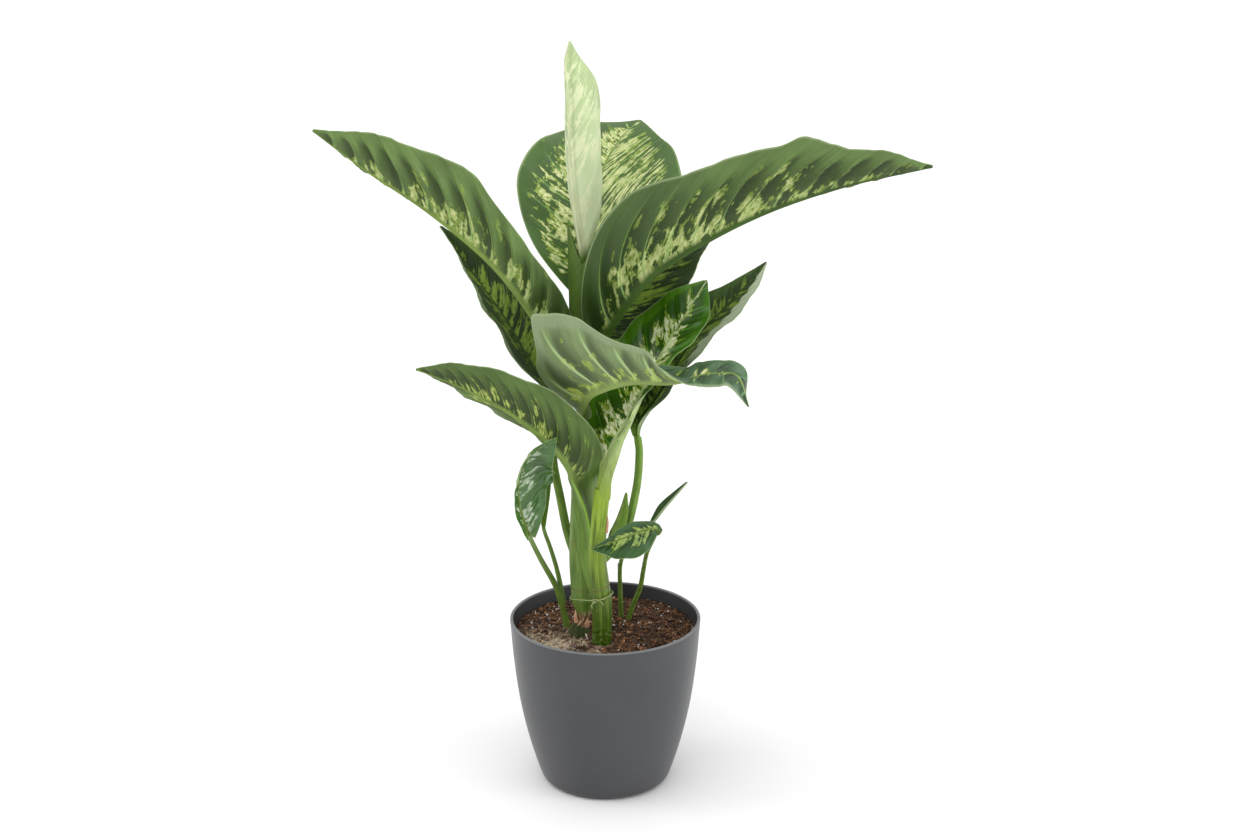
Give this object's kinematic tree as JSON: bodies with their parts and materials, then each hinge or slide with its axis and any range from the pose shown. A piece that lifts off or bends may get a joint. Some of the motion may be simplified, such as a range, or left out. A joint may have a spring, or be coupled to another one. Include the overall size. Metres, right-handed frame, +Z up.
{
  "type": "potted dieffenbachia plant",
  "caption": "Potted dieffenbachia with broad cream-streaked leaves on thick canes, standing in soil in a plain round grey pot.",
  "frame": {"origin": "centre of the pot's flat underside, on the surface that it stands on", "axes": "+Z up through the pot, +X to the viewer's right in the picture, +Y away from the viewer"},
  "size_m": [0.54, 0.3517, 0.703],
  "materials": {
    "pot": "satin",
    "soil": "matte",
    "stem": "satin",
    "leaf": "satin",
    "young_leaf": "gloss",
    "spear": "satin",
    "tie": "matte"
  },
  "bodies": {
    "root": {"pot": "pot", "soil": "soil", "cane_main": "stem", "cane_second": "stem", "stem_stub": "stem", "stem_tie": "tie", "sheath_top": "stem", "sheath_right": "stem", "leaf_spear": "spear", "leaf_back": "leaf", "leaf_upper_left": "leaf", "leaf_upper_right": "leaf", "leaf_mid_left": "leaf", "leaf_behind": "leaf", "leaf_mid_right": "leaf", "leaf_front": "leaf", "leaf_front_right": "young_leaf", "leaf_lower_left": "leaf", "shoot_left_leaf": "young_leaf", "shoot_left_spear": "young_leaf", "shoot_right_leaf": "young_leaf", "shoot_right_spear": "young_leaf"}
  },
  "joints": []
}
